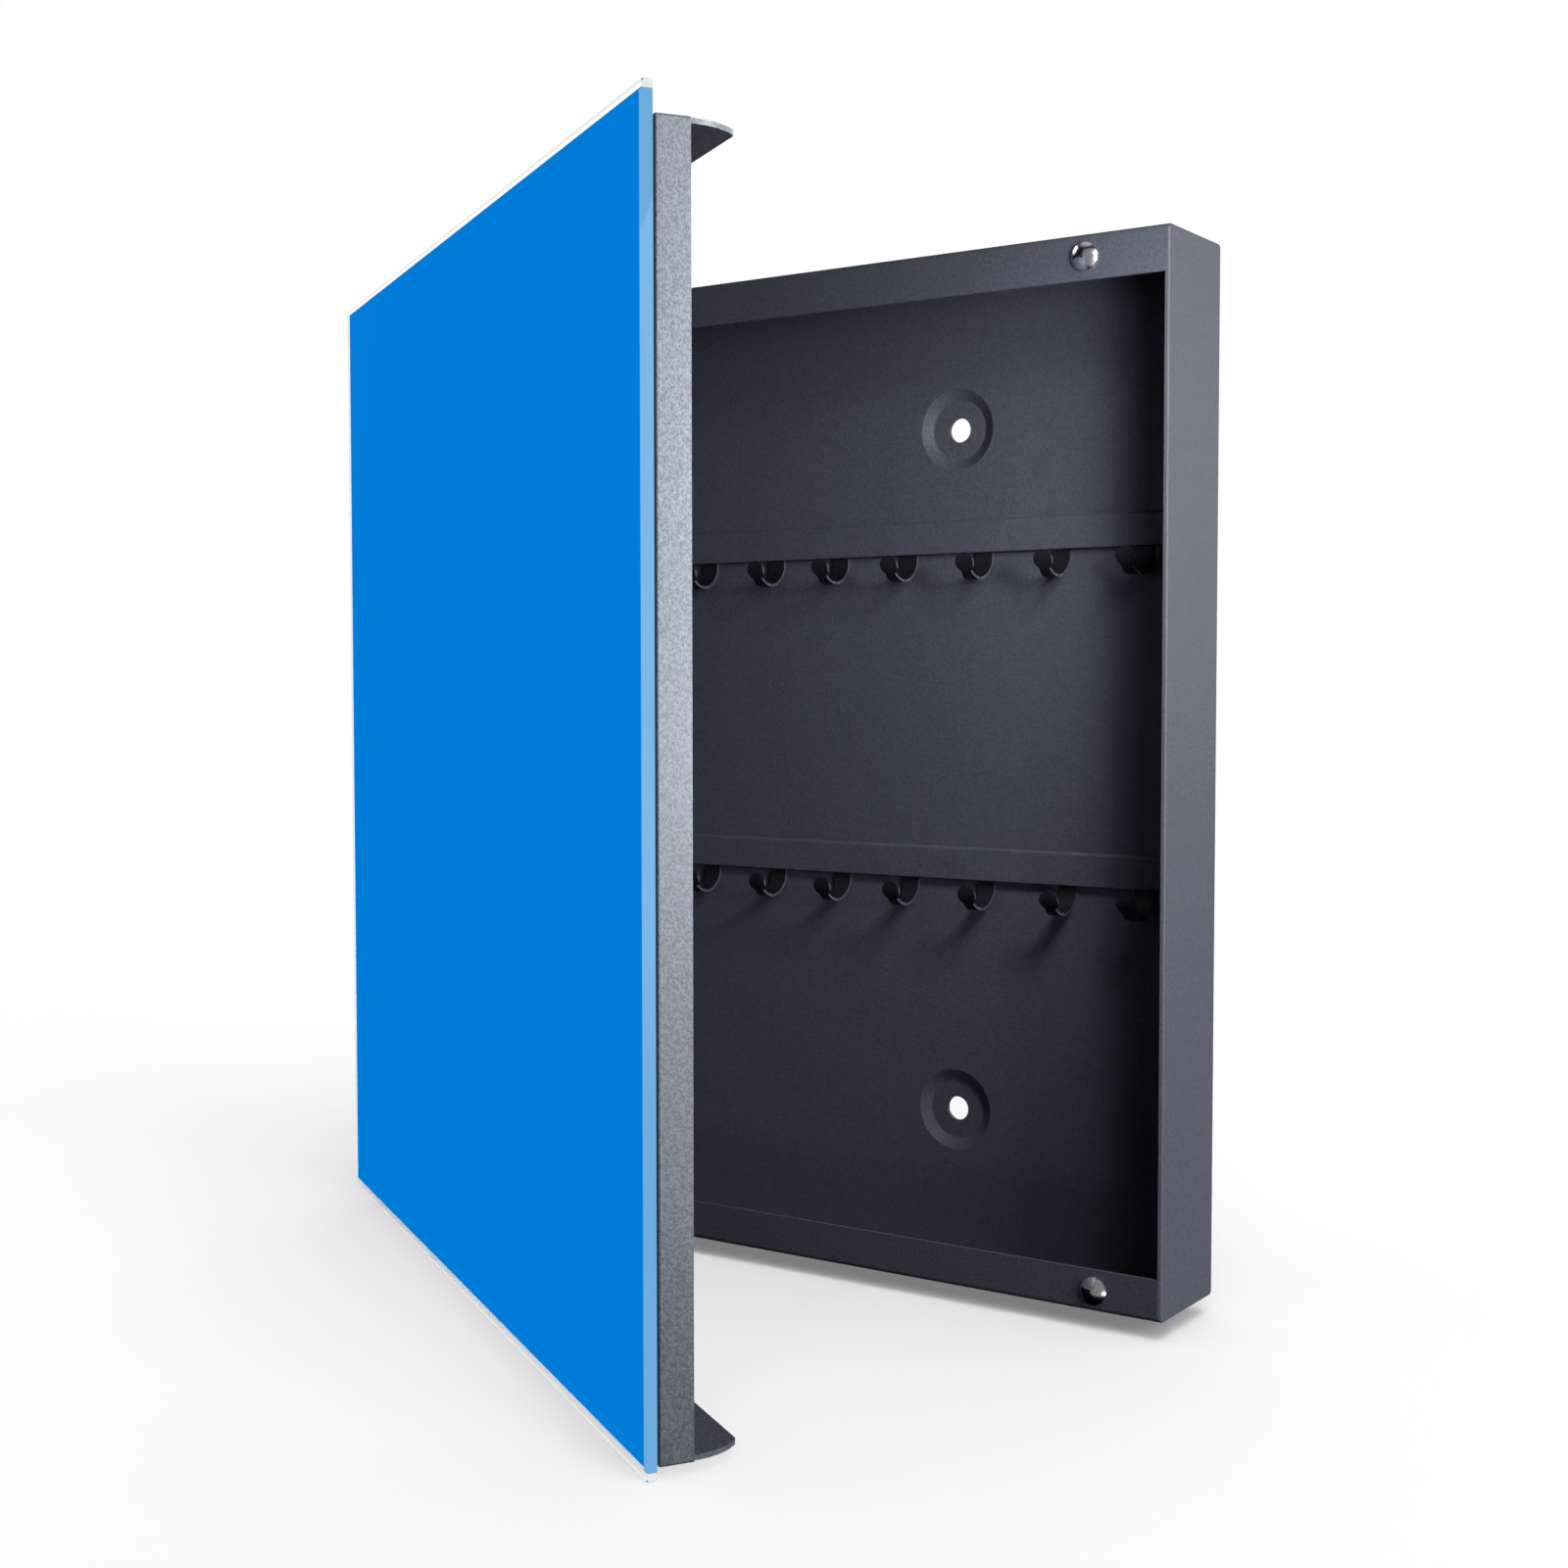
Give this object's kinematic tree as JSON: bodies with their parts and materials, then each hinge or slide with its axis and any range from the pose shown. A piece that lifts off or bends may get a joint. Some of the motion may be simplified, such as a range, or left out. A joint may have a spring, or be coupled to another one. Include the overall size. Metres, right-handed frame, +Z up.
{
  "type": "key cabinet",
  "caption": "Wall-hung sheet-steel key cabinet with two rows of J hooks and a blue glass door on two pivot pins, held shut by magnets.",
  "frame": {"origin": "centre of the four wall-screw holes, on the wall plane that the back dimples rest on", "axes": "+X to the right of someone facing the cabinet, +Y into the wall, +Z up; the door is stored 32.2 degrees open"},
  "size_m": [0.3044, 0.1887, 0.3],
  "materials": {
    "cabinet_paint": "fine-grain matt powder coat, dark grey",
    "hook_paint": "satin black coat",
    "door_paint": "fine-grain matt powder coat, grey",
    "bright_plate": "bright plated",
    "zinc_steel": "zinc plated",
    "black_nylon": "moulded nylon",
    "clear_glass": "polished float glass, ground arris",
    "blue_colour": "even blue layer bonded behind the glass",
    "tape_foam": "thin double-sided mounting tape"
  },
  "bodies": {
    "cabinet": {"cabinet_wrap": "cabinet_paint", "left_side_panel": "cabinet_paint", "right_side_panel": "cabinet_paint", "upper_hook_rail": "cabinet_paint", "lower_hook_rail": "cabinet_paint", "key_hook_upper_01": "hook_paint", "key_hook_upper_02": "hook_paint", "key_hook_upper_03": "hook_paint", "key_hook_upper_04": "hook_paint", "key_hook_upper_05": "hook_paint", "key_hook_upper_06": "hook_paint", "key_hook_upper_07": "hook_paint", "key_hook_upper_08": "hook_paint", "key_hook_upper_09": "hook_paint", "key_hook_upper_10": "hook_paint", "key_hook_upper_11": "hook_paint", "key_hook_lower_01": "hook_paint", "key_hook_lower_02": "hook_paint", "key_hook_lower_03": "hook_paint", "key_hook_lower_04": "hook_paint", "key_hook_lower_05": "hook_paint", "key_hook_lower_06": "hook_paint", "key_hook_lower_07": "hook_paint", "key_hook_lower_08": "hook_paint", "key_hook_lower_09": "hook_paint", "key_hook_lower_10": "hook_paint", "key_hook_lower_11": "hook_paint", "upper_catch_magnet": "bright_plate", "upper_magnet_nut": "zinc_steel", "upper_hinge_pin": "zinc_steel", "upper_hinge_washer": "black_nylon", "lower_catch_magnet": "bright_plate", "lower_magnet_nut": "zinc_steel", "lower_hinge_pin": "zinc_steel", "lower_hinge_washer": "black_nylon"},
    "door": {"door_pan": "door_paint", "glass_panel": "clear_glass", "colour_layer": "blue_colour", "top_tape_strip": "tape_foam", "bottom_tape_strip": "tape_foam", "left_tape_strip": "tape_foam", "right_tape_strip": "tape_foam", "upper_hinge_bush": "black_nylon", "lower_hinge_bush": "black_nylon"}
  },
  "joints": [
    {"name": "door_hinge", "type": "hinge", "parent": "cabinet", "child": "door", "pos_m": [-0.1371, -0.02345, 0], "axis": [0, 0, -1], "range_deg": [-32.2, 72.8]}
  ]
}
